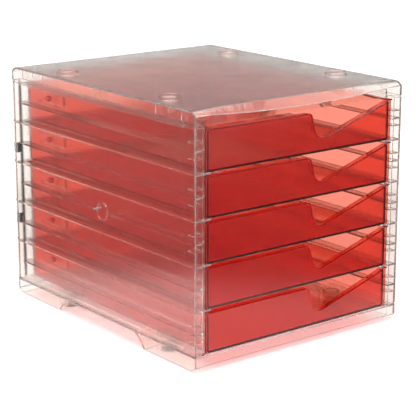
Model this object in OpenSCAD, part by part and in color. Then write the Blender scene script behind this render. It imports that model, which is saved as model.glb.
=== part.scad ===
// Desktop drawer box: a clear housing snapped together from five mouldings, with
// translucent trays that slide out towards the front.
// Millimetres. X runs across the front, the trays open towards -Y and Z is up.
// The origin is on the table, under the middle of the housing.

/* [Housing] */
// Width over both side panels
body_w = 340; // [320:1:410]
// Depth from the front face to the back face
body_d = 415; // [370:1:500]
// Thickness of the housing walls
wall = 2.5; // [2:0.1:3]
// Height of the base from the underside of its feet to the side panels
base_h = 19.5; // [17:0.5:24]
// Height of the top cover above the side panels
cover_h = 18.5; // [17:0.5:24]
// Radius that rounds both ends of the base and of the cover
end_r = 16; // [14:0.5:20]
// Depth of that rounding, back from the face
end_run = 12.5; // [8:0.5:13]
// Depth of the shadow groove at each end of a side panel
groove_d = 0.8; // [0.4:0.1:1.2]
// Height of the shadow groove
groove_h = 2.2; // [1:0.1:3]

/* [Side panels] */
// Width of a front pillar
pillar_w = 14.5; // [13:0.1:17.5]
// Depth of a front pillar
pillar_d = 14; // [10:0.5:18]
// Width of a rear pillar
rear_w = 9.8; // [8:0.1:12]
// How far the ledge behind the back panel reaches past the rear pillar
ledge_reach = 3.2; // [2:0.1:5]
// Thickness of the ribs and runners
rib_t = 2.4; // [1.6:0.1:3]
// How far a runner reaches in past the ends of the fronts
runner_grip = 8.5; // [6:0.5:12]
// Thickness of the webs inside the pillars
web_t = 1.6; // [1.2:0.1:2.4]
// Height of a pillar web above or below the rib halfway up a tray
web_step = 10; // [8:0.5:14]
// How far a pillar web bulges out at the back of its pillar
web_bulge = 2.5; // [1:0.1:4]
// How far the stop nib of a pillar web reaches towards the tray
nib_reach = 2.2; // [1.6:0.1:2.4]

/* [Drawers] */
// Number of drawers
drawer_count = 5; // [3:1:6]
// Height from one drawer to the next
drawer_pitch = 57; // [54:0.5:70]
// Thickness of the tray fronts
front_t = 3; // [2:0.1:4]
// Thickness of the tray sides and back
side_t = 2.2; // [1.6:0.1:3]
// Thickness of the tray floor
floor_t = 2; // [1.6:0.1:3]
// How far a front reaches past the sides of its tray
flange = 3.2; // [2:0.1:4]
// Radius of the inside edges and corners of a tray
cove_r = 1.5; // [1:0.5:5]
// Radius of the outside edges along the underside of a tray
keel_r = 3; // [1:0.5:4]
// How far the rim stands out past the ends of the front
rim_reach = 2.3; // [1.9:0.1:3]
// Thickness of the rim
rim_t = 2; // [1.4:0.1:3]
// How far the top edge of the front lies below the rim
front_drop = 2.3; // [0.5:0.1:6]
// Depth of the hem along the top edge of the front, with the front itself
hem_depth = 9; // [6:0.5:12]
// Thickness of the hem
hem_t = 2; // [1.2:0.1:3]

/* [Finger opening] */
// Centre of the rounded bottom of the opening, from the middle of the front
grip_x = 37.5; // [10:0.5:60]
// Height of the lowest point of the opening above the tray's underside
grip_low = 17.9; // [12:0.1:22]
// Radius of the rounded bottom
grip_r = 17; // [10:0.5:20]
// Angle of the steep left edge
grip_steep = 74.8; // [60:0.1:85]
// Angle of the long right edge
grip_slope = 17.1; // [14:0.1:25]
// Radius of the corner where the steep edge meets the top edge
lip_r = 7; // [3:0.5:10]

/* [Drawer stops] */
// Distance from the tray's back to the root of the stop tongue
tongue_root = 29; // [20:1:60]
// Length of the stop tongue, with the slot round its end
tongue_l = 64; // [50:1:90]
// Height of the stop tongue, with its slots
tongue_h = 17; // [14:0.5:18]
// Width of the slot round the tongue
slot_w = 2.2; // [1:0.1:3]
// Distance from the tray's back to the centre of the stop peg
peg_back = 57; // [40:1:70]
// Radius of the stop peg
peg_r = 4; // [2.5:0.1:4.5]
// How far the tip of the stop peg stays back from the edge of the rim
peg_inset = 0.5; // [0.4:0.1:0.8]

/* [Top cover] */
// Sag of the dished strip along the front edge
dish_sag = 4.75; // [3:0.25:6]
// Height left on the front face of the cover at the middle of the dish
dish_face = 7; // [5:0.5:9]
// Slope of the dished strip
dish_slope = 42.6; // [38:0.1:48]
// Distance of the stacking rings from the middle, across
ring_x = 138; // [110:1:140]
// Distance of the stacking rings from the middle, front to back
ring_y = 115; // [105:1:150]
// Outer radius of a stacking ring
ring_r = 15.5; // [14.5:0.5:18]
// Width of a stacking ring
ring_w = 2.3; // [1.5:0.1:2.5]
// Height of a stacking ring
ring_h = 3; // [2:0.5:4]

/* [Feet] */
// Length of a foot along the side of the base
foot_l = 109.5; // [100:0.5:130]
// How much further the opening between the feet reaches at their tips
arch_run = 21; // [17:0.5:28]
// Radius of the curved end of each foot
arch_r = 40; // [30:1:60]
// Radius of a soft pad
pad_r = 11.5; // [8:0.5:12]
// Thickness of a soft pad
pad_t = 3.5; // [2.5:0.5:5]
// How far a pad stands below the feet
pad_proud = 1.5; // [1:0.5:2]
// Length of the plug that holds a pad in its post
plug_l = 5; // [3:0.5:8]

/* [Clearances] */
// Gap under a tray on its runners
slide_gap = 0.3; // [0.2:0.1:0.6]
// Gap between a tray's rim and the runner above
lift_gap = 0.5; // [0.3:0.1:1]
// Gap between a tray's rim and the pillars
side_gap = 0.7; // [0.5:0.1:1.5]
// Gap between a closed tray's rim and the stop ribs behind it
stop_gap = 0.5; // [0.3:0.1:1]
// Gap between mouldings that snap together
snap_gap = 0.2; // [0.1:0.05:0.4]
// Gap between a stacking ring and the socket of the box above
stack_gap = 0.5; // [0.3:0.1:1]

/* [Hidden] */
$fn = 64;
// Overlap that joins shapes, and that carries a cut past a face
joint = 0.5;

CORNERS = ["front_left", "front_right", "back_left", "back_right"];

CLEAR = [0.88, 0.87, 0.84, 0.35];
CLEAR_TOP = [0.86, 0.84, 0.80, 0.45];
RED = [0.83, 0.13, 0.10, 0.75];
RUBBER = [0.75, 0.75, 0.74, 1];

// Levels above the table
seam_z = pad_proud + base_h;
ceiling_z = seam_z - wall;
runner_top = 0.7;
side_h = drawer_count * drawer_pitch + runner_top + slide_gap;
eave_z = seam_z + side_h;

// Distances from the middle plane, across
half_w = body_w / 2;
wall_x = half_w - wall;
pillar_x = half_w - pillar_w;
rim_x = pillar_x - side_gap;
tray_x = rim_x - rim_reach;
body_x = tray_x - flange;
cavity_x = body_x - side_t;
runner_x = tray_x - runner_grip;
peg_out = rim_x - peg_inset - body_x;
rear_x = half_w - rear_w;
ledge_x = rear_x - ledge_reach;

// Distances from the middle plane, front to back
half_d = body_d / 2;
wall_y = half_d - wall;
ledge_y = wall_y - wall;
front_setback = 1.5;
tray_front = -half_d + front_setback;
rim_back = ledge_y - 2.5;
rim_tail = 2;
tray_back = rim_back - rim_tail;
peg_y = tray_back - peg_back;
peg_chamfer = 0.6;

// Heights above a tray's underside
tray_h = drawer_pitch - slide_gap - rib_t - lift_gap;
front_h = tray_h - front_drop;
peg_z = drawer_pitch / 2 + web_step - slide_gap;

// Base
ledge_t = 1.6;
fascia_setback = 1;
arch_y = half_d - foot_l;
socket_r = ring_r + stack_gap;
socket_wall = 1.8;
post_wall = 2;
upstand_t = 2;
upstand_h = 5;
upstand_root = 4;
upstand_end = 12;

// Side panels
rib_count = 2 * drawer_count - 1;
short_rib_end = 9;
gate_y = -8;
gate_r = 12.5;
gate_t = 1.2;
gate_room = 7.5;
ejector_y = [-half_d + 27.5, gate_y - 62, gate_y + 67, half_d - 40.5];

// The round marks that ejector pins leave inside the mouldings
ejector_r = 6;
ejector_t = 0.3;

// Cover
dish_half_w = pillar_x - 0.5;
dish_reach = 30;
dish_r = (dish_half_w * dish_half_w + dish_sag * dish_sag) / (2 * dish_sag);
bracket_t = 1.6;
bracket_top = 14;
bracket_foot = 8;
bracket_h = 13;
bracket_y = [7, 128, 180];
short_bracket_y = 154;
cover_mark_x = 28;
cover_mark_y = -half_d + 59.5;

// Back panel
panel_gap = 1.5;
tab_w = 5;
tab_h = 14;
tab_low = 88.5;
tab_high = 96;
tab_levels = [tab_low, side_h - tab_high];
stop_rib_t = 2;
stop_rib_x = 100;

// The side view of a block with a flat underside at 0 and two rounded top
// corners: each arc runs into the flat top and meets the end face at a crisp edge.
module end_profile(length, height, run, r) {
    difference() {
        translate([-length / 2, 0]) square([length, height]);
        for (side = [0, 1])
            mirror([side, 0])
                translate([length / 2 - run, height - r])
                    difference() {
                        square([run + joint, r + joint]);
                        circle(r);
                    }
    }
}

// The same block with its underside up, hanging from the height top.
module end_profile_down(top, length, height, run, r) {
    translate([0, top]) mirror([0, 1]) end_profile(length, height, run, r);
}

module rounded_rect(width, height, r) {
    translate([r, 0]) square([width - 2 * r, height]);
    translate([0, r]) square([width, height - 2 * r]);
    for (x = [r, width - r], y = [r, height - r])
        translate([x, y]) circle(r);
}

// A drawing of depth against height becomes a block from x0 to x1.
module across(x0, x1) {
    translate([x0, 0, 0]) rotate([90, 0, 90]) linear_extrude(x1 - x0) children();
}

// A drawing of width against height becomes a block from y0 back to y1.
module along(y0, y1) {
    translate([0, y1, 0]) rotate([90, 0, 0]) linear_extrude(y1 - y0) children();
}

module both_sides() {
    children();
    mirror([1, 0, 0]) children();
}

module four_corners() {
    for (x = [-1, 1], y = [-1, 1])
        translate([x * ring_x, y * ring_y, 0]) children();
}

// ---- Base

// The rounded block that the base is cut from.
module base_block(inset) {
    across(-half_w + inset, half_w - inset)
        end_profile_down(seam_z - inset, body_d - 2 * inset, base_h - inset, end_run - inset, end_r - inset);
}

// The open underside, which leaves the rounded lips at the front and the back.
module base_opening() {
    base_block(wall);
    translate([-wall_x, -half_d + end_run, 0]) cube([2 * wall_x, body_d - 2 * end_run, ceiling_z]);
}

// The side view of the opening between the feet. Each end is an arc from the
// ceiling down to the tip of the foot, moved outwards by growth.
module arch_profile(growth) {
    rise = ceiling_z - pad_proud;
    chord = norm([arch_run, rise]);
    lean = sqrt(arch_r * arch_r - chord * chord / 4) / chord;
    centre = [arch_y - arch_run / 2 - rise * lean, pad_proud + rise / 2 - arch_run * lean];
    translate([-centre[0], -joint]) square([2 * centre[0], ceiling_z + joint]);
    intersection() {
        for (side = [-1, 1])
            translate([side * centre[0], centre[1]]) circle(arch_r + growth);
        translate([-half_d, pad_proud]) square([body_d, rise]);
    }
    translate([-arch_y - growth, -joint]) square([2 * (arch_y + growth), pad_proud + joint]);
}

// The wall that closes the end of each foot and curves up into the ceiling.
module foot_ends() {
    both_sides()
        difference() {
            across(ring_x, wall_x + joint)
                intersection() {
                    arch_profile(wall);
                    translate([-half_d, pad_proud]) square([body_d, base_h]);
                }
            across(ring_x - joint, half_w) arch_profile(0);
        }
}

// The middle of the front face, set back below a thin ledge.
module fascia_recess() {
    across(-pillar_x, pillar_x)
        difference() {
            translate([-half_d - joint, 0]) square([end_run + joint, seam_z - ledge_t]);
            translate([fascia_setback, 0])
                end_profile_down(seam_z, body_d, base_h, end_run, end_r);
        }
}

// A socket drops over a stacking ring of the box below, and the post inside it
// holds a soft pad.
module sockets() {
    four_corners()
        translate([0, 0, pad_proud])
            difference() {
                cylinder(r = socket_r + socket_wall, h = base_h - wall + joint);
                translate([0, 0, -joint]) cylinder(r = socket_r, h = base_h - wall + joint);
            }
}

module posts() {
    four_corners()
        translate([0, 0, pad_t])
            difference() {
                cylinder(r = pad_r, h = ceiling_z - pad_t + joint);
                translate([0, 0, -joint]) cylinder(r = pad_r - post_wall, h = ceiling_z - pad_t + joint);
            }
}

// Long ribs that locate the side panels from inside.
module upstands() {
    both_sides()
        translate([wall_x - snap_gap - upstand_t, -half_d + pillar_d + upstand_end, seam_z - joint])
            cube([upstand_t, ledge_y - upstand_end + half_d - pillar_d - upstand_end, upstand_h + joint]);
}

// The lowest tray slides on these.
module base_runners() {
    both_sides()
        translate([runner_x, -wall_y, seam_z - joint])
            cube([runner_grip, wall_y + ledge_y, runner_top + joint]);
}

module base() {
    color(CLEAR) {
        difference() {
            union() {
                difference() {
                    base_block(0);
                    base_opening();
                    across(-half_w - joint, half_w + joint) arch_profile(0);
                    fascia_recess();
                }
                foot_ends();
            }
            four_corners() cylinder(r = socket_r, h = ceiling_z);
        }
        sockets();
        posts();
        upstands();
        base_runners();
    }
}

// ---- Side panels, drawn for the right-hand side from their lower edge up

// The plan of a web inside a front pillar, with its bulging back and its nib.
module web_plan() {
    width = wall_x - pillar_x;
    back = -half_d + pillar_d;
    bulge_r = (width * width / 4 + web_bulge * web_bulge) / (2 * web_bulge);
    translate([pillar_x, -wall_y - joint]) square([width + joint, back + wall_y + joint]);
    intersection() {
        translate([pillar_x + width / 2, back + web_bulge - bulge_r]) circle(bulge_r);
        translate([pillar_x, back - joint]) square([width, web_bulge + joint]);
    }
    nib_plan(back);
}

module nib_plan(back) {
    translate([pillar_x + joint, back - nib_reach - joint])
        intersection() {
            circle(nib_reach + joint);
            translate([-nib_reach - joint, -nib_reach - joint]) square(2 * (nib_reach + joint));
        }
}

module pillar() {
    translate([pillar_x, -half_d, 0]) cube([pillar_w, wall, side_h]);
    translate([pillar_x, -half_d, 0]) cube([wall, pillar_d, side_h]);
    for (i = [0:drawer_count - 1], step = [-web_step, web_step])
        translate([0, 0, (i + 0.5) * drawer_pitch + step + runner_top - web_t])
            linear_extrude(web_t) web_plan();
}

module rear_pillar() {
    difference() {
        translate([rear_x, wall_y, 0]) cube([rear_w, wall, side_h]);
        for (level = tab_levels)
            translate([rear_x - joint, wall_y - joint, level - tab_h / 2 - snap_gap])
                cube([tab_w + snap_gap + joint, wall + 2 * joint, tab_h + 2 * snap_gap]);
    }
    translate([ledge_x, ledge_y, 0]) cube([wall_x + joint - ledge_x, wall, side_h]);
}

// A runner carries the tray above it and holds down the tray below.
module runner() {
    translate([runner_x, -wall_y - joint, runner_top - rib_t])
        cube([wall_x - runner_x + joint, wall_y + ledge_y + 2 * joint, rib_t]);
}

module short_rib() {
    translate([pillar_x, -wall_y - joint, runner_top - rib_t])
        cube([wall_x - pillar_x + joint, wall_y + ledge_y + joint - short_rib_end, rib_t]);
}

module ribs() {
    for (i = [1:rib_count])
        translate([0, 0, i * drawer_pitch / 2])
            if (i % 2 == 0) runner(); else short_rib();
}

// The disc round the moulding gate, which the ribs make way for.
module gate() {
    translate([wall_x + joint, gate_y, side_h / 2])
        rotate([0, -90, 0])
            difference() {
                cylinder(r = gate_r, h = gate_t + joint);
                cylinder(r = gate_r - gate_t, h = gate_t + 2 * joint);
            }
}

// Between each pair of ribs.
module panel_ejector_marks() {
    for (i = [0:rib_count], y = ejector_y)
        translate([wall_x - joint, y, (i + 0.5) * drawer_pitch / 2])
            rotate([0, 90, 0]) cylinder(r = ejector_r, h = ejector_t + joint);
}

module gate_clearing() {
    size = 2 * (gate_r + gate_room);
    translate([runner_x - joint, gate_y - size / 2, side_h / 2 - gate_r - joint])
        cube([wall_x + joint - runner_x, size, 2 * (gate_r + joint)]);
}

module grooves() {
    for (z = [-joint, side_h - groove_h]) {
        translate([half_w - groove_d, -half_d - joint, z])
            cube([groove_d + joint, body_d + 2 * joint, groove_h + joint]);
        translate([pillar_x - joint, -half_d - joint, z])
            cube([pillar_w + 2 * joint, groove_d + joint, groove_h + joint]);
    }
}

module side_panel() {
    difference() {
        union() {
            translate([wall_x, -half_d, 0]) cube([wall, body_d, side_h]);
            pillar();
            rear_pillar();
            difference() {
                ribs();
                if (rib_count % 4 == 1) gate_clearing();
            }
            gate();
        }
        grooves();
        panel_ejector_marks();
    }
}

module side_panel_right() {
    color(CLEAR) translate([0, 0, seam_z]) side_panel();
}

module side_panel_left() {
    color(CLEAR) translate([0, 0, seam_z]) mirror([1, 0, 0]) side_panel();
}

// ---- Back panel

module back_panel() {
    panel_x = rear_x - snap_gap;
    color(CLEAR)
        translate([0, 0, seam_z]) {
            translate([-panel_x, wall_y, panel_gap]) cube([2 * panel_x, wall, side_h - 2 * panel_gap]);
            for (level = tab_levels)
                translate([-panel_x - tab_w, wall_y, level - tab_h / 2]) cube([2 * (panel_x + tab_w), wall, tab_h]);
            // Closed trays come to rest just in front of these ribs
            both_sides()
                translate([stop_rib_x, rim_back + stop_gap, panel_gap])
                    cube([stop_rib_t, wall_y - rim_back - stop_gap + joint, side_h - 2 * panel_gap]);
        }
}

// ---- Top cover, drawn from its lower edge up

module cover_block(inset) {
    across(-half_w + inset, half_w - inset)
        end_profile(body_d - 2 * inset, cover_h - inset, end_run - inset, end_r - inset);
}

// The space above the dished strip along the front edge.
module dish() {
    above_dish()
        intersection() {
            translate([0, -dish_r]) circle(dish_r, $fn = 256);
            translate([-dish_half_w, -dish_reach]) square([2 * dish_half_w, dish_reach + joint]);
        }
}

// The same space grown by the wall, which keeps the strip hollow behind.
module dish_backing() {
    half_width = dish_half_w + wall;
    steps = 16;
    above_dish()
        polygon(concat(
            [[half_width, -dish_reach], [-half_width, -dish_reach]],
            [for (i = [-steps:steps])
                let (x = half_width * i / steps, r = dish_r + wall)
                [x, sqrt(r * r - x * x) - dish_r]]
        ));
}

module above_dish() {
    translate([0, -half_d, dish_face])
        rotate([dish_slope - 90, 0, 0])
            translate([0, 0, -dish_reach])
                linear_extrude(3 * dish_reach) children();
}

// The brackets between the skirt and the plate, which narrow on an arc.
module bracket(from) {
    cut_x = (bracket_top * bracket_top + bracket_h * bracket_h - bracket_foot * bracket_foot)
        / (2 * (bracket_top - bracket_foot));
    difference() {
        translate([-joint, from]) square([bracket_top + joint, bracket_h + joint - from]);
        translate([cut_x, 0]) circle(cut_x - bracket_foot, $fn = 96);
    }
}

module bracket_pair(y, from) {
    for (side = [-1, 1])
        translate([wall_x, side * y, cover_h - wall - bracket_h])
            mirror([1, 0, 0])
                along(-bracket_t / 2, bracket_t / 2) bracket(from);
}

module brackets() {
    both_sides() {
        for (y = bracket_y) bracket_pair(y, 0);
        bracket_pair(short_bracket_y, bracket_h / 2);
    }
}

// Long ribs that drop inside the side panels.
module lining() {
    both_sides()
        along(-half_d + pillar_d + upstand_end, ledge_y - upstand_end) {
            translate([wall_x - snap_gap - upstand_t, -upstand_h]) square([upstand_t, upstand_h + upstand_root]);
            translate([wall_x - snap_gap - joint, 0]) square([snap_gap + 2 * joint, upstand_root]);
        }
}

module cover_ejector_marks() {
    both_sides()
        translate([cover_mark_x, cover_mark_y, cover_h - wall - joint])
            cylinder(r = ejector_r, h = ejector_t + joint);
}

// A ring that the socket of another box drops over.
module ring() {
    rotate_extrude() {
        translate([ring_r - ring_w, -joint]) square([ring_w, ring_h - ring_w / 2 + joint]);
        translate([ring_r - ring_w / 2, ring_h - ring_w / 2]) circle(ring_w / 2);
    }
}

module top_cover() {
    color(CLEAR_TOP)
        translate([0, 0, eave_z]) {
            difference() {
                cover_block(0);
                difference() {
                    union() {
                        cover_block(wall);
                        translate([-wall_x, -wall_y, -joint]) cube([2 * wall_x, 2 * wall_y, 2 * joint]);
                    }
                    dish_backing();
                }
                dish();
                cover_ejector_marks();
            }
            brackets();
            lining();
            four_corners() translate([0, 0, cover_h]) ring();
        }
}

// ---- Trays, drawn from their underside up

// The outside of a tray below its rim.
module tray_body() {
    along(tray_front, tray_back)
        translate([-body_x, 0]) {
            rounded_rect(2 * body_x, tray_h - keel_r, keel_r);
            translate([0, keel_r]) square([2 * body_x, tray_h - keel_r]);
        }
    translate([-tray_x, tray_front, 0]) cube([2 * tray_x, front_t, tray_h]);
}

module rim() {
    translate([-rim_x, tray_front, tray_h - rim_t]) cube([2 * rim_x, rim_back - tray_front, rim_t]);
}

// The room inside a tray, with all its edges coved.
module tray_room() {
    front = tray_front + front_t;
    back = tray_back - side_t;
    above = tray_h + cove_r;
    intersection() {
        along(front, back)
            translate([-cavity_x, floor_t]) rounded_rect(2 * cavity_x, above, cove_r);
        across(-cavity_x, cavity_x)
            translate([front, floor_t]) rounded_rect(back - front, above, cove_r);
        translate([-cavity_x, front, 0])
            linear_extrude(tray_h + joint) rounded_rect(2 * cavity_x, back - front, cove_r);
    }
}

// Everything above the front's edge: its low straight top, the rounded lip, the
// steep side and the long slope of the finger opening. The growth moves all of
// this edge into the front.
module front_cut(growth = 0) {
    above = tray_h + 2 * joint;
    low = front_h - growth;
    round_r = grip_r + growth;
    corner_r = lip_r - growth;
    centre = [grip_x, grip_low + grip_r];
    steep = [-cos(grip_steep), sin(grip_steep)];
    slope = [cos(grip_slope), sin(grip_slope)];
    // The straight edges cross the arcs just inside their rims, for a clean join
    lap = 0.02;
    reach = round_r - lap;
    steep_start = centre - reach * [sin(grip_steep), cos(grip_steep)];
    slope_start = centre + reach * [sin(grip_slope), -cos(grip_slope)];
    translate([-cavity_x, low]) square([2 * cavity_x, above - low]);
    intersection() {
        union() {
            translate(centre) circle(round_r);
            polygon([
                centre,
                steep_start,
                steep_start + steep * (above - steep_start[1]) / steep[1],
                slope_start + slope * (above - slope_start[1]) / slope[1],
                slope_start
            ]);
        }
        translate([-cavity_x, 0]) square([2 * cavity_x, above]);
    }
    // The lip
    corner = steep_start + steep * (low - steep_start[1]) / steep[1];
    lip = [corner[0] - corner_r * tan(grip_steep / 2), low - corner_r]
        + lap * [sin(grip_steep), cos(grip_steep)];
    difference() {
        polygon([
            lip,
            lip + [0, corner_r + joint],
            corner + [0, joint],
            corner + [joint, 0],
            lip + (corner_r + joint) * [sin(grip_steep), cos(grip_steep)]
        ]);
        translate(lip) circle(corner_r);
    }
}

// The front is folded back along its top edge and right round the finger opening.
module hem() {
    along(tray_front + front_t - joint, tray_front + hem_depth) {
        difference() {
            front_cut(hem_t);
            front_cut();
        }
        both_sides() translate([cavity_x - joint, front_h - hem_t]) square([2 * joint, hem_t]);
    }
}

// The slot that frees a springy tongue in each side, rooted at its rear.
module tongue_slot() {
    tongue = tongue_l - slot_w;
    translate([tray_back - tongue_root - tongue_l, peg_z - tongue_h / 2])
        difference() {
            rounded_rect(tongue_l, tongue_h, slot_w);
            translate([slot_w, slot_w]) rounded_rect(tongue + slot_w, tongue_h - 2 * slot_w, slot_w);
        }
}

module peg() {
    translate([body_x - joint, peg_y, peg_z])
        rotate([0, 90, 0]) {
            cylinder(r = peg_r, h = peg_out + joint - peg_chamfer);
            translate([0, 0, peg_out + joint - peg_chamfer])
                cylinder(r1 = peg_r, r2 = peg_r - peg_chamfer, h = peg_chamfer);
        }
}

module tray() {
    difference() {
        union() {
            tray_body();
            rim();
        }
        tray_room();
        along(tray_front - joint, tray_front + front_t + cove_r + joint) front_cut();
        both_sides() across(cavity_x - joint, rim_x + joint) tongue_slot();
    }
    hem();
    both_sides() peg();
}

module drawer(i) {
    color(RED) translate([0, 0, seam_z + runner_top + slide_gap + (i - 1) * drawer_pitch]) tray();
}

// ---- Soft pads

module foot_pad(i) {
    chamfer = pad_t / 4;
    plug_r = pad_r - post_wall - snap_gap;
    x = (i % 2 == 0 ? -1 : 1) * ring_x;
    y = (i < 2 ? -1 : 1) * ring_y;
    color(RUBBER)
        translate([x, y, 0]) {
            cylinder(r1 = pad_r - chamfer, r2 = pad_r, h = chamfer);
            translate([0, 0, chamfer]) cylinder(r = pad_r, h = pad_t - chamfer);
            translate([0, 0, pad_t - joint]) cylinder(r = plug_r, h = plug_l + joint);
        }
}

base();
side_panel_left();
side_panel_right();
back_panel();
top_cover();
for (i = [1:drawer_count])
    drawer(i);
for (i = [0:3])
    foot_pad(i);
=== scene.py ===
"""Camera, studio and finishes for a clear desktop drawer box with five red trays.

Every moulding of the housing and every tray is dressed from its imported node: the
mesh is copied, its edges are broken as a mould breaks them, and its faces get the
texture that each side of the mould leaves. The soft pads are modelled here.

Lengths are in metres. X runs across the front, the trays open towards -Y, Z is up
and the origin lies on the table under the middle of the housing.
"""

import logging
import math
from collections.abc import Callable
from dataclasses import dataclass
from enum import Enum

import bpy
from mathutils import Matrix, Vector

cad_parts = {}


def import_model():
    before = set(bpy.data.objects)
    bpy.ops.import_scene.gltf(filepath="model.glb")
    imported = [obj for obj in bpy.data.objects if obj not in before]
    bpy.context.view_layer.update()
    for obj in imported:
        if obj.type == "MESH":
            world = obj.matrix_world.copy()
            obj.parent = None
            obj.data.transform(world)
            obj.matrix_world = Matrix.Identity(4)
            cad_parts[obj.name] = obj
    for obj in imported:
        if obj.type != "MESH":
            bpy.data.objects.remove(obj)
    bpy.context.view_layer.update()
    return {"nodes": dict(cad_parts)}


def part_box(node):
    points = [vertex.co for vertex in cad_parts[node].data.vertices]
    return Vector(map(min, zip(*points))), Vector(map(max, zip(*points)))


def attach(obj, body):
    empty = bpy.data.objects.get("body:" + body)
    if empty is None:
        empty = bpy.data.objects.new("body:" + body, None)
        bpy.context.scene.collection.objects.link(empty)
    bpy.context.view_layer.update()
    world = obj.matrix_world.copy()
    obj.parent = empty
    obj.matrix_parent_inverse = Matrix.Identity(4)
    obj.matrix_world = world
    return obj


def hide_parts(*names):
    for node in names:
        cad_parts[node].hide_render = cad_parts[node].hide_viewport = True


LOG = logging.getLogger("drawer_box")
SATIN = "satin"
MM = 0.001
FACING = 0.9  # least share of a normal along an axis for a face to look that way
LEVEL = 0.1 * MM  # how far a face may lie from the plane that it belongs to
BLOTCHY = 4.0  # how many finer layers a blotchy pattern has
TRAYS = 5
SIDES = {"left": -1, "right": 1}
ENDS = ("front", "back")


class Slot(Enum):
    """Names of material slots."""

    HOUSING = "clear_housing"
    COVER = "satin_cover"
    TRAY = "red_tray"
    PAD = "soft_pad"


# ---- Finishes


Value = float | bpy.types.NodeSocket


class Sketch:
    """The node tree of a material or of the room, drawn one node at a time."""

    def __init__(self, name: str) -> None:
        """Starts an empty material.

        Args:
            name: Name of the material.
        """
        self.material = bpy.data.materials.new(name)
        self.material.use_nodes = True
        self.start(self.material.node_tree, "ShaderNodeOutputMaterial")
        self.place = self.node("ShaderNodeTexCoord").outputs["Object"]

    @classmethod
    def of(cls, tree: bpy.types.NodeTree, output: str) -> "Sketch":
        """Starts on a tree that isn't a material's.

        Args:
            tree: The tree, which is emptied.
            output: Blender's name for its output node.

        Returns:
            The sketch.
        """
        sketch = cls.__new__(cls)
        sketch.start(tree, output)
        return sketch

    def start(self, tree: bpy.types.NodeTree, output: str) -> None:
        """Empties a tree and gives it its output node.

        Args:
            tree: The tree.
            output: Blender's name for its output node.
        """
        self.tree = tree
        self.tree.nodes.clear()
        self.output = self.node(output)

    def node(self, kind: str, inputs: dict | None = None, **settings: object) -> bpy.types.Node:
        """Adds a node.

        Args:
            kind: Blender's name for the node type.
            inputs: Values or sockets for its inputs, by input name or number.
            **settings: Values for its own properties.

        Returns:
            The node.
        """
        node = self.tree.nodes.new(kind)
        for name, value in settings.items():
            setattr(node, name, value)
        for name, value in (inputs or {}).items():
            if isinstance(value, bpy.types.NodeSocket):
                self.tree.links.new(value, node.inputs[name])
            else:
                node.inputs[name].default_value = value
        return node

    def math(self, operation: str, first: Value, second: Value) -> bpy.types.NodeSocket:
        """Joins two values.

        Args:
            operation: Blender's name for the operation.
            first: The first value.
            second: The second value.

        Returns:
            The socket of the result.
        """
        return self.node("ShaderNodeMath", {0: first, 1: second}, operation=operation).outputs[0]

    def mix(self, share: Value, first: Value, second: Value) -> bpy.types.NodeSocket:
        """Blends two values.

        Args:
            share: Share of the second value.
            first: The value at a share of 0.
            second: The value at a share of 1.

        Returns:
            The socket of the result.
        """
        blend = self.node("ShaderNodeMix", {0: share, 2: first, 3: second}, data_type="FLOAT")
        return blend.outputs[0]

    def noise(self, size: float, detail: float = 2.0) -> bpy.types.NodeSocket:
        """A soft random pattern.

        Args:
            size: Width of its blotches.
            detail: How many finer layers it has.

        Returns:
            The socket of its value, from 0 to 1.
        """
        pattern = self.node(
            "ShaderNodeTexNoise", {"Vector": self.place, "Scale": 1 / size, "Detail": detail}
        )
        return pattern.outputs["Fac"]

    def spread(
        self, value: bpy.types.NodeSocket, span: tuple[float, float], low: float, high: float
    ) -> bpy.types.NodeSocket:
        """Maps a pattern onto a range of values.

        Args:
            value: The pattern.
            span: The pattern's values that become low and high.
            low: Value below the span.
            high: Value above the span.

        Returns:
            The socket of the mapped value.
        """
        ends = {"From Min": span[0], "From Max": span[1], "To Min": low, "To Max": high}
        mapped = self.node(
            "ShaderNodeMapRange", {"Value": value, **ends}, interpolation_type="SMOOTHSTEP"
        )
        return mapped.outputs["Result"]

    def bump(self, height: bpy.types.NodeSocket, relief: float) -> bpy.types.NodeSocket:
        """Turns a pattern into a relief.

        Args:
            height: The pattern, from 0 to 1.
            relief: Height of the relief.

        Returns:
            The socket of the bumped normal.
        """
        bump = self.node("ShaderNodeBump", {"Height": height, "Distance": relief, "Strength": 1.0})
        return bump.outputs["Normal"]

    def surface(self, shader: bpy.types.Node) -> None:
        """Makes a shader the material's surface."""
        self.tree.links.new(shader.outputs[0], self.output.inputs["Surface"])

    def volume(self, shader: bpy.types.Node) -> None:
        """Makes a shader the material's volume."""
        self.tree.links.new(shader.outputs[0], self.output.inputs["Volume"])


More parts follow.
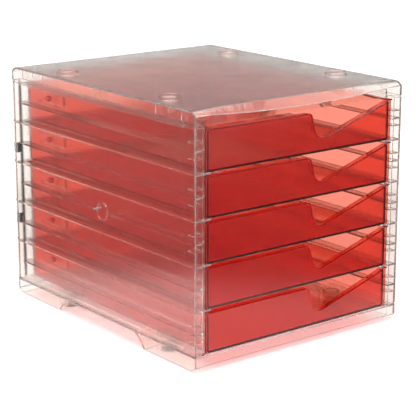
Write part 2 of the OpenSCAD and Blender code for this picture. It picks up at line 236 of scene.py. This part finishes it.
@dataclass(frozen=True)
class Plastic:
    """A see-through plastic, polished on some faces and satin on the others.

    One material covers both, because light keeps the depth of plastic that it
    crosses only where it enters and leaves through the same material. The mesh
    attribute SATIN is 1 on the satin faces.

    Attributes:
        name: Name of the material.
        faces: Colour that a wall's two faces let through, however thick it is.
        tint: Colour that the plastic between them lets through.
        density: How much of the rest it takes away, per metre.
        polished: Roughness of a polished face.
        satin: Roughness of a satin face.
        handled: How much rougher a handled spot is.
        spot: Width of the handled spots.
        grain: Width of the grain of a satin face.
        relief: Height of that grain.
        mottle: Share of the light that its deepest spots let through.
        blotches: The pattern's values between an untouched and a handled spot.
        specks: The grain's values between its high and its deepest spots.
        ior: Index of refraction.
    """

    name: str
    faces: tuple[float, float, float]
    tint: tuple[float, float, float]
    density: float
    polished: float
    satin: float
    handled: float = 0.05
    spot: float = 45 * MM
    grain: float = 0.9 * MM
    relief: float = 0.002 * MM
    mottle: float = 0.97
    blotches: tuple[float, float] = (0.35, 0.7)
    specks: tuple[float, float] = (0.3, 0.7)
    ior: float = 1.57

    def material(self) -> bpy.types.Material:
        """Draws the material.

        Returns:
            The material, with its patterns on Object coordinates.
        """
        sketch = Sketch(self.name)
        satin = sketch.node("ShaderNodeAttribute", attribute_name=SATIN).outputs["Fac"]
        finish = sketch.spread(satin, (0.0, 1.0), self.polished, self.satin)
        marks = sketch.spread(sketch.noise(self.spot, BLOTCHY), self.blotches, 0.0, self.handled)
        roughness = sketch.math("ADD", finish, marks)
        grain = sketch.math("MULTIPLY", sketch.noise(self.grain), satin)
        normal = sketch.bump(grain, self.relief)
        bright = sketch.spread(grain, self.specks, 1.0, self.mottle)
        shade = sketch.node("ShaderNodeVectorMath", {0: self.faces, 3: bright}, operation="SCALE")
        sketch.surface(
            sketch.node(
                "ShaderNodeBsdfPrincipled",
                {
                    "Base Color": shade.outputs[0],
                    "Transmission Weight": 1.0,
                    "IOR": self.ior,
                    "Roughness": roughness,
                    "Normal": normal,
                },
            )
        )
        sketch.volume(
            sketch.node(
                "ShaderNodeVolumeAbsorption", {"Color": (*self.tint, 1.0), "Density": self.density}
            )
        )
        return sketch.material


@dataclass(frozen=True)
class Rubber:
    """A soft, slightly milky rubber.

    Attributes:
        name: Name of the material.
        colour: Its colour.
        worn: Its colour where dust clings to it.
        speck: Width of the dusty spots.
        dusty: The pattern's values between a clean and a dusty spot.
        clean_finish: Roughness where it is clean.
        dusty_finish: Roughness where it is dusty.
        milk: How milky it is.
        depth: How far light spreads in it.
        grain: Width of its grain.
        relief: Height of its grain.
    """

    name: str
    colour: tuple[float, float, float]
    worn: tuple[float, float, float]
    speck: float = 4 * MM
    dusty: tuple[float, float] = (0.45, 0.75)
    clean_finish: float = 0.42
    dusty_finish: float = 0.6
    milk: float = 0.25
    depth: float = 2 * MM
    grain: float = 0.5 * MM
    relief: float = 0.01 * MM

    def material(self) -> bpy.types.Material:
        """Draws the material.

        Returns:
            The material, with its patterns on Object coordinates.
        """
        sketch = Sketch(self.name)
        dust = sketch.spread(sketch.noise(self.speck, BLOTCHY), self.dusty, 0.0, 1.0)
        colours = {6: (*self.colour, 1.0), 7: (*self.worn, 1.0)}
        colour = sketch.node("ShaderNodeMix", {0: dust, **colours}, data_type="RGBA")
        finish = sketch.spread(dust, (0.0, 1.0), self.clean_finish, self.dusty_finish)
        sketch.surface(
            sketch.node(
                "ShaderNodeBsdfPrincipled",
                {
                    "Base Color": colour.outputs[2],
                    "Roughness": finish,
                    "Subsurface Weight": self.milk,
                    "Subsurface Scale": self.depth,
                    "Normal": sketch.bump(sketch.noise(self.grain), self.relief),
                },
            )
        )
        return sketch.material


# Faces, tint and density of the two plastics.
HOUSING = ((0.985, 0.945, 0.905), (0.992, 0.986, 0.988), 40)
TRAY = ((0.96, 0.96, 0.96), (0.988, 0.28, 0.11), 650)


class Finish(Enum):
    """Every finish on the box."""

    CLEAR = Plastic("clear_plastic", *HOUSING, polished=0.02, satin=0.14)
    COVER = Plastic("cover_plastic", *HOUSING, polished=0.02, satin=0.22)
    RED = Plastic(
        "red_plastic",
        *TRAY,
        polished=0.04,
        satin=0.18,
        grain=1.5 * MM,
        relief=0.006 * MM,
        mottle=0.82,
    )
    PAD = Rubber("pad_rubber", colour=(0.62, 0.61, 0.58), worn=(0.45, 0.43, 0.4))


class Palette:
    """The materials of the finishes, each drawn when it is first asked for."""

    def __init__(self) -> None:
        """Starts with no material."""
        self.drawn: dict[Finish, bpy.types.Material] = {}

    def __getitem__(self, finish: Finish) -> bpy.types.Material:
        """Hands out the material of a finish.

        Args:
            finish: The finish.

        Returns:
            The material, the same one each time.
        """
        if finish not in self.drawn:
            self.drawn[finish] = finish.value.material()
        return self.drawn[finish]


# ---- Modelling


def take(piece: bpy.types.Object) -> bpy.types.Object:
    """Selects one object alone and makes it the active one.

    Args:
        piece: The object.

    Returns:
        The same object.
    """
    bpy.ops.object.select_all(action="DESELECT")
    piece.select_set(True)
    bpy.context.view_layer.objects.active = piece
    return piece


def pick_faces(piece: bpy.types.Object, wanted: Callable[[bpy.types.MeshPolygon], bool]) -> None:
    """Selects the faces that pass a test, and leaves the piece in edit mode.

    Args:
        piece: The active object.
        wanted: The test of a face.
    """
    bpy.ops.object.mode_set(mode="EDIT")
    bpy.ops.mesh.select_mode(type="FACE")
    bpy.ops.mesh.select_all(action="DESELECT")
    bpy.ops.object.mode_set(mode="OBJECT")
    for face in piece.data.polygons:
        face.select = wanted(face)
    bpy.ops.object.mode_set(mode="EDIT")


def bevel(
    piece: bpy.types.Object, width: float, angle: float, share: Callable[[Vector, Vector], float]
) -> None:
    """Rounds the crisp edges of a piece.

    Args:
        piece: The active object.
        width: Greatest width of the rounding.
        angle: Least angle of an edge that is rounded, in degrees.
        share: Gives the share of the width that an edge gets from its two ends.
    """
    bpy.ops.object.mode_set(mode="EDIT")
    bpy.ops.mesh.select_mode(type="EDGE")
    bpy.ops.mesh.select_all(action="DESELECT")
    bpy.ops.mesh.edges_select_sharp(sharpness=math.radians(angle))
    bpy.ops.object.mode_set(mode="OBJECT")
    mesh = piece.data
    weights = mesh.attributes.new("bevel_weight_edge", "FLOAT", "EDGE")
    ends = [[mesh.vertices[i].co for i in edge.vertices] for edge in mesh.edges]
    weights.data.foreach_set(
        "value", [share(*pair) if edge.select else 0.0 for edge, pair in zip(mesh.edges, ends)]
    )
    bpy.ops.object.modifier_add(type="BEVEL")
    modifier = piece.modifiers[-1]
    modifier.width = width
    modifier.segments = 2
    modifier.limit_method = "WEIGHT"
    modifier.use_clamp_overlap = False
    modifier.miter_outer = "MITER_ARC"
    bpy.ops.object.modifier_apply(modifier=modifier.name)


def even_shading(angle: float) -> None:
    """Smooths the active object's round stretches and keeps its big faces flat.

    Args:
        angle: Least angle of an edge that stays crisp, in degrees.
    """
    bpy.ops.object.shade_smooth_by_angle(angle=math.radians(angle))
    bpy.ops.object.modifier_add(type="WEIGHTED_NORMAL")
    modifier = bpy.context.object.modifiers[-1]
    modifier.keep_sharp = True
    modifier.weight = 100
    bpy.ops.object.modifier_apply(modifier=modifier.name)


def open_edges(piece: bpy.types.Object) -> int:
    """Counts the edges that don't join exactly two faces.

    Args:
        piece: The object.

    Returns:
        The count, which is 0 on a closed shell.
    """
    uses: dict[tuple[int, int], int] = {}
    for face in piece.data.polygons:
        for key in face.edge_keys:
            uses[key] = uses.get(key, 0) + 1
    return sum(1 for count in uses.values() if count != 2)


def report(piece: bpy.types.Object) -> None:
    """Logs a piece's name, its faces and its open edges."""
    faces = len(piece.data.polygons)
    LOG.info("%s: %d faces, %d open edges", piece.name, faces, open_edges(piece))


@dataclass
class Moulding:
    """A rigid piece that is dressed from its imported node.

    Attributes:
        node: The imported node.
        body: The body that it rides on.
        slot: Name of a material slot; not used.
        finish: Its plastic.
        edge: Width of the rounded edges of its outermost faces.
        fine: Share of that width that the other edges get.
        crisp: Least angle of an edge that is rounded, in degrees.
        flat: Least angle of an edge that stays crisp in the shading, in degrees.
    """

    node: str
    body: str
    slot: Slot
    finish: Finish
    edge: float = 0.5 * MM
    fine: float = 0.25
    crisp: float = 40
    flat: float = 32

    def __post_init__(self) -> None:
        """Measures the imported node."""
        self.low, self.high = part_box(self.node)

    def is_satin(self, face: bpy.types.MeshPolygon) -> bool:
        """Says whether the mould leaves a face satin, which a plain moulding's doesn't."""
        return False

    def rounding(self, first: Vector, last: Vector) -> float:
        """Gives the edges of the outermost upright faces the full width, and others less.

        Args:
            first: One end of the edge.
            last: Its other end.

        Returns:
            The share of the full width.
        """
        for axis in (0, 1):
            for limit in (self.low[axis], self.high[axis]):
                if max(abs(first[axis] - limit), abs(last[axis] - limit)) < LEVEL / 2:
                    return 1.0
        return self.fine

    def copied(self, source: bpy.types.Object) -> bpy.types.Object:
        """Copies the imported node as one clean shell.

        Args:
            source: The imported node.

        Returns:
            The copy, with shared corners.
        """
        piece = bpy.data.objects.new(f"{self.node}_shell", source.data.copy())
        bpy.context.scene.collection.objects.link(piece)
        take(piece)
        piece.data.materials.clear()
        bpy.ops.object.mode_set(mode="EDIT")
        bpy.ops.mesh.select_all(action="SELECT")
        bpy.ops.mesh.remove_doubles(threshold=LEVEL / 2)
        bpy.ops.object.mode_set(mode="OBJECT")
        return piece

    def build(self, nodes: dict[str, bpy.types.Object], palette: Palette) -> bpy.types.Object:
        """Makes the piece and ties it to its body.

        Args:
            nodes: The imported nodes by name.
            palette: The materials.

        Returns:
            The finished piece.
        """
        piece = self.copied(nodes[self.node])
        bevel(piece, self.edge, self.crisp, self.rounding)
        even_shading(self.flat)
        piece.data.materials.append(palette[self.finish])
        satin = piece.data.attributes.new(SATIN, "FLOAT", "FACE")
        faces = piece.data.polygons
        satin.data.foreach_set("value", [float(self.is_satin(face)) for face in faces])
        self.settle(piece)
        return piece

    def settle(self, piece: bpy.types.Object) -> None:
        """Ties a finished piece to its body, hides its node and logs it.

        Args:
            piece: The finished piece.
        """
        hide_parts(self.node)
        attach(piece, self.body)
        report(piece)


@dataclass
class SidePanel(Moulding):
    """A side panel, satin outside and polished inside.

    Attributes:
        side: -1 for the left panel and 1 for the right one.
        skin: Depth within which the outer face lies.
    """

    side: int = 1
    skin: float = 1 * MM

    def is_satin(self, face: bpy.types.MeshPolygon) -> bool:
        """Picks the big outer face."""
        reach = max(abs(self.low.x), abs(self.high.x))
        return face.normal.x * self.side > FACING and abs(face.center.x) > reach - self.skin


@dataclass
class BackPanel(Moulding):
    """The back panel, satin outside and polished inside."""

    def is_satin(self, face: bpy.types.MeshPolygon) -> bool:
        """Picks the big rear face."""
        return face.normal.y > FACING and face.center.y > self.high.y - LEVEL


@dataclass
class Base(Moulding):
    """The base with its four feet, satin on its outer faces.

    Attributes:
        wall: Thickness of its walls.
    """

    wall: float = 2.5 * MM

    def is_satin(self, face: bpy.types.MeshPolygon) -> bool:
        """Picks the faces within a wall of the outline that face outwards.

        Args:
            face: The face.

        Returns:
            Whether it is satin.
        """
        middle, normal = face.center, face.normal
        across = abs(middle.x) > self.high.x - self.wall / 2 and normal.x * middle.x > 0
        along = abs(middle.y) > self.high.y - self.wall and normal.y * middle.y > 0
        return across or along


@dataclass
class TopCover(Moulding):
    """The cover, satin on top of its plate and on its sides.

    Attributes:
        plate: Height of the top of its plate.
        strip: Depth of the dished strip along its front edge.
        lean: Least share of the strip's normal that points up.
    """

    plate: float = 325.5 * MM
    strip: float = 20 * MM
    lean: float = 0.5

    def is_satin(self, face: bpy.types.MeshPolygon) -> bool:
        """Picks the top of the plate, the strip and the outer faces of the sides.

        Args:
            face: The face.

        Returns:
            Whether it is satin.
        """
        middle, normal = face.center, face.normal
        top = normal.z > FACING and abs(middle.z - self.plate) < 3 * LEVEL
        strip = normal.z > self.lean and middle.y < self.low.y + self.strip
        return top or strip or normal.x * middle.x > FACING * self.high.x


@dataclass
class Tray(Moulding):
    """A tray, satin on the front.

    Attributes:
        copies: The other trays' nodes and bodies, which are the same shape.
    """

    copies: tuple[tuple[str, str], ...] = ()

    def is_satin(self, face: bpy.types.MeshPolygon) -> bool:
        """Picks the front face."""
        return face.normal.y < -FACING and face.center.y < self.low.y + LEVEL

    def repeat(self, first: bpy.types.Object) -> list[bpy.types.Object]:
        """Copies the first tray to the places of the others.

        Args:
            first: The finished first tray.

        Returns:
            The copies, each with its own mesh.
        """
        made = []
        for node, body in self.copies:
            piece = bpy.data.objects.new(f"{node}_shell", first.data.copy())
            bpy.context.scene.collection.objects.link(piece)
            tray = Tray(node, body, self.slot, self.finish)
            piece.data.transform(Matrix.Translation((0, 0, tray.low.z - self.low.z)))
            tray.settle(piece)
            made.append(piece)
        return made


@dataclass
class FootPad:
    """A soft pad under a foot, held by a plug in the post above it.

    Attributes:
        node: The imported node.
        chamfer: Width of the bevel round the tread.
        plug: Radius of the plug.
        tread: Height of the pad below the plug.
        dimple: Depth of the hollow in the tread, and width of its slope.
        rim: Width of the tread round the hollow.
        sides: Number of flat stretches round it.
        crisp: Least angle of an edge that is rounded, in degrees.
        flat: Least angle of an edge that stays crisp in the shading, in degrees.
    """

    node: str
    chamfer: float = 0.8 * MM
    plug: float = 9.3 * MM
    tread: float = 3.5 * MM
    dimple: float = 0.5 * MM
    rim: float = 3.0 * MM
    sides: int = 64
    crisp: float = 60
    flat: float = 35

    def build(self, palette: Palette) -> bpy.types.Object:
        """Models the pad where its node is.

        Args:
            palette: The materials.

        Returns:
            The finished pad.
        """
        low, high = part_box(self.node)
        middle = (low + high) / 2
        radius = (high.x - low.x) / 2
        bpy.ops.object.select_all(action="DESELECT")
        bpy.ops.mesh.primitive_cylinder_add(
            vertices=self.sides,
            radius=radius,
            depth=self.tread,
            location=(middle.x, middle.y, low.z + self.tread / 2),
        )
        pad = take(bpy.context.object)
        pad.name = f"{self.node}_soft"
        bpy.ops.object.transform_apply(location=True, rotation=True, scale=True)
        top, bottom = low.z + self.tread, low.z
        pick_faces(pad, lambda face: face.normal.z > FACING)
        bpy.ops.mesh.inset(thickness=radius - self.plug)
        bpy.ops.mesh.extrude_region_move(TRANSFORM_OT_translate={"value": (0, 0, high.z - top)})
        bpy.ops.object.mode_set(mode="OBJECT")
        pick_faces(
            pad, lambda face: face.normal.z < -FACING and face.center.z < bottom + LEVEL
        )
        bpy.ops.mesh.inset(thickness=self.rim)
        bpy.ops.mesh.inset(thickness=self.dimple)
        bpy.ops.transform.translate(value=(0, 0, self.dimple))
        bpy.ops.object.mode_set(mode="OBJECT")
        bevel(pad, self.chamfer, self.crisp, lambda first, last: 1.0)
        even_shading(self.flat)
        pad.data.materials.append(palette[Finish.PAD])
        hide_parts(self.node)
        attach(pad, "housing")
        report(pad)
        return pad


# ---- Studio


@dataclass(frozen=True)
class Softbox:
    """A soft lamp above the table.

    Attributes:
        name: Its name.
        place: Where it hangs.
        size: Its width and length.
        power: Its power in watts.
        aim: The point that it faces.
    """

    name: str
    place: tuple[float, float, float]
    size: tuple[float, float]
    power: float
    aim: tuple[float, float, float] = (0.0, 0.0, 0.16)

    def hang(self) -> bpy.types.Object:
        """Hangs the lamp.

        Returns:
            The lamp.
        """
        facing = Vector(self.aim) - Vector(self.place)
        bpy.ops.object.light_add(
            type="AREA", location=self.place, rotation=facing.to_track_quat("-Z", "Y").to_euler()
        )
        lamp = bpy.context.object
        lamp.name = self.name
        lamp.data.shape = "RECTANGLE"
        lamp.data.size, lamp.data.size_y = self.size
        lamp.data.energy = self.power
        lamp.visible_camera = False
        return lamp


@dataclass(frozen=True)
class Studio:
    """A white paper sweep in a dim room, with painted shade on the table beside it and the camera
    in front of its left corner.

    Attributes:
        eye: Where the camera stands.
        gaze: The direction in which it looks.
        lens: Its focal length in millimetres.
        sensor: Width of its sensor in millimetres.
        floor: Width of the table top.
        table: How much light the table top sends back.
        table_glow: Light added to the table top under the box where it is looked at.
        far_glow: Light added to it far from the box.
        outskirts: Distances from the middle of the box between which the one gives way
            to the other.
        paper: Distances from the middle line of the sweep over which the painted shade
            beside it begins.
        shade_span: Distances along the sweep over which the painted shade ends.
        painted_shade_tone: Brightness of the painted shade, which every ray but the
            camera's sees.
        beam: Where the room fades from the dim sides to the ends of the sweep, as
            cosines of the angle from its middle line, seen from above.
        rise: Heights over which the room fades from the horizon to the dim wall, as
            sines of the angle above the horizon.
        eaves: Heights over which the wall gives way to the ceiling.
        room_side: Brightness beside the sweep.
        room_wall: Brightness of the wall.
        room_top: Brightness of the ceiling.
        fill: Brightness of the room for the table top.
        bounces: How often light may pass or be mirrored by a face of the plastic.
        table_bounces: How often it may bounce off the table.
        blur: How much glossy light is blurred against bright specks.
        lamps: The lamps.
    """

    eye: tuple[float, float, float] = (-1.2006, -1.5536, 0.6589)
    gaze: tuple[float, float, float] = (0.5946, 0.7622, -0.2559)
    lens: float = 128.2
    sensor: float = 36.0
    floor: float = 40.0
    table: float = 0.82
    table_glow: float = 0.3
    far_glow: float = 0.47
    outskirts: tuple[float, float] = (0.5, 1.1)
    paper: tuple[float, float] = (0.28, 0.45)
    shade_span: tuple[float, float] = (0.55, 0.8)
    painted_shade_tone: float = 0.16
    beam: tuple[float, float] = (0.4, 0.85)
    rise: tuple[float, float] = (0.08, 0.2)
    eaves: tuple[float, float] = (0.6, 0.8)
    room_side: float = 0.9
    room_wall: float = 0.14
    room_top: float = 2.0
    fill: float = 0.85
    bounces: int = 200
    table_bounces: int = 3
    blur: float = 0.2
    lamps: tuple[Softbox, ...] = (
        Softbox("key_lamp", (-0.9, -0.5, 1.9), (1.1, 0.9), 14.0),
        Softbox("top_lamp", (0.3, 0.6, 2.2), (1.8, 1.2), 12.0),
    )

    def set_camera(self) -> None:
        """Stands the camera in its place."""
        turn = Vector(self.gaze).to_track_quat("-Z", "Y").to_euler()
        bpy.ops.object.camera_add(location=self.eye, rotation=turn)
        camera = bpy.context.object
        camera.name = "camera"
        camera.data.lens = self.lens
        camera.data.sensor_width = self.sensor
        bpy.context.scene.camera = camera

    def along(
        self, sketch: Sketch, place: bpy.types.NodeSocket, quarter: int
    ) -> bpy.types.NodeSocket:
        """Measures how far a point or direction lies along a level line.

        Args:
            sketch: The tree to draw in.
            place: The point or direction.
            quarter: The line's turn from the camera's line of sight, in quarter turns.

        Returns:
            The socket of the distance, the same both ways along the line.
        """
        line = Vector((self.gaze[0], self.gaze[1], 0)).normalized()
        line.rotate(Matrix.Rotation(quarter * math.pi / 2, 3, "Z"))
        reach = sketch.node("ShaderNodeVectorMath", {0: place, 1: line}, operation="DOT_PRODUCT")
        return sketch.math("ABSOLUTE", reach.outputs["Value"], 0.0)

    def light_room(self) -> None:
        """Fills the room with light: white at both ends of the sweep, dim beside it."""
        world = bpy.data.worlds.new("room")
        bpy.context.scene.world = world
        world.use_nodes = True
        sketch = Sketch.of(world.node_tree, "ShaderNodeOutputWorld")
        direction = sketch.node("ShaderNodeTexCoord").outputs["Generated"]
        rays = sketch.node("ShaderNodeLightPath").outputs
        height = sketch.node("ShaderNodeSeparateXYZ", {0: direction}).outputs["Z"]
        overhead = sketch.spread(height, self.rise, 1.0, self.room_wall)
        overhead = sketch.mix(sketch.spread(height, self.eaves, 0.0, 1.0), overhead, self.room_top)
        ends = sketch.spread(self.along(sketch, direction, 0), self.beam, self.room_side, 1.0)
        level = sketch.math("MULTIPLY", ends, overhead)
        level = sketch.mix(rays["Is Diffuse Ray"], level, self.fill)
        level = sketch.mix(rays["Is Camera Ray"], level, 1.0)
        white = (1.0, 1.0, 1.0, 1.0)
        sketch.surface(sketch.node("ShaderNodeBackground", {"Color": white, "Strength": level}))

    def lay_floor(self) -> None:
        """Lays the table with the sweep, which shows as white and keeps a soft shadow, with
        painted shade beside the sweep and a painted glow on the table.
        """
        bpy.ops.mesh.primitive_plane_add(size=self.floor)
        floor = bpy.context.object
        floor.name = "table_top"
        sketch = Sketch("table_white")
        rays = sketch.node("ShaderNodeLightPath").outputs
        place = sketch.node("ShaderNodeNewGeometry").outputs["Position"]
        # Painted shade: beside the sweep the table is dimmed for every ray but the camera's, so
        # the plastic mirrors and shows a dark table there.
        beside = sketch.spread(self.along(sketch, place, 1), self.paper, 0.0, 1.0)
        abreast = sketch.spread(self.along(sketch, place, 0), self.shade_span, 1.0, 0.0)
        level = sketch.mix(sketch.math("MULTIPLY", beside, abreast), 1.0, self.painted_shade_tone)
        level = sketch.mix(rays["Is Camera Ray"], level, 1.0)
        reach = sketch.node("ShaderNodeVectorMath", {0: place}, operation="LENGTH")
        # Painted light: the table glows for every ray but diffuse ones, less near the box than far
        # from it.
        painted_glow = sketch.spread(
            reach.outputs["Value"], self.outskirts, self.table_glow, self.far_glow
        )
        painted_glow = sketch.mix(rays["Is Diffuse Ray"], painted_glow, 0.0)
        glow = sketch.math("MULTIPLY", level, painted_glow)
        paint = sketch.math("MULTIPLY", level, self.table)
        colour = sketch.node("ShaderNodeCombineColor", {0: paint, 1: paint, 2: paint})
        diffuse = sketch.node("ShaderNodeBsdfDiffuse", {"Color": colour.outputs[0]})
        light = sketch.node("ShaderNodeEmission", {"Strength": glow})
        both = {0: diffuse.outputs[0], 1: light.outputs[0]}
        sketch.surface(sketch.node("ShaderNodeAddShader", both))
        floor.data.materials.append(sketch.material)

    def set_render(self) -> None:
        """Lets light pass through all the walls and keeps colours as they are."""
        scene = bpy.context.scene
        scene.view_settings.view_transform = "Standard"
        cycles = scene.cycles
        cycles.max_bounces = self.bounces
        cycles.transmission_bounces = self.bounces
        cycles.glossy_bounces = self.bounces
        cycles.diffuse_bounces = self.table_bounces
        cycles.caustics_refractive = True
        cycles.caustics_reflective = True
        cycles.blur_glossy = self.blur
        cycles.use_denoising = True

    def build(self) -> None:
        """Sets up the camera, the room, the table and the lamps."""
        self.set_camera()
        self.light_room()
        self.lay_floor()
        for lamp in self.lamps:
            lamp.hang()
        self.set_render()


# ---- The whole box


def housing() -> list[Moulding]:
    """Lists the mouldings of the housing.

    Returns:
        The mouldings, from the base to the cover.
    """
    clear = (Slot.HOUSING, Finish.CLEAR)
    pieces: list[Moulding] = [Base("base", "housing", *clear)]
    for name, side in SIDES.items():
        pieces.append(SidePanel(f"side_panel_{name}", "housing", *clear, side=side))
    pieces.append(BackPanel("back_panel", "housing", *clear))
    pieces.append(TopCover("top_cover", "housing", Slot.COVER, Finish.COVER))
    return pieces


def main() -> None:
    """Builds the studio, the housing, the trays and the pads."""
    logging.basicConfig(level=logging.INFO, format="%(name)s: %(message)s")
    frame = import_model()
    palette = Palette()
    Studio().build()
    for moulding in housing():
        moulding.build(frame["nodes"], palette)
    others = tuple((f"drawer_{i}", f"tray_{i}") for i in range(2, TRAYS + 1))
    tray = Tray("drawer_1", "tray_1", Slot.TRAY, Finish.RED, edge=0.9 * MM, copies=others)
    tray.repeat(tray.build(frame["nodes"], palette))
    for end in ENDS:
        for side in SIDES:
            FootPad(f"foot_pad_{end}_{side}").build(palette)


if __name__ == "__main__":
    main()
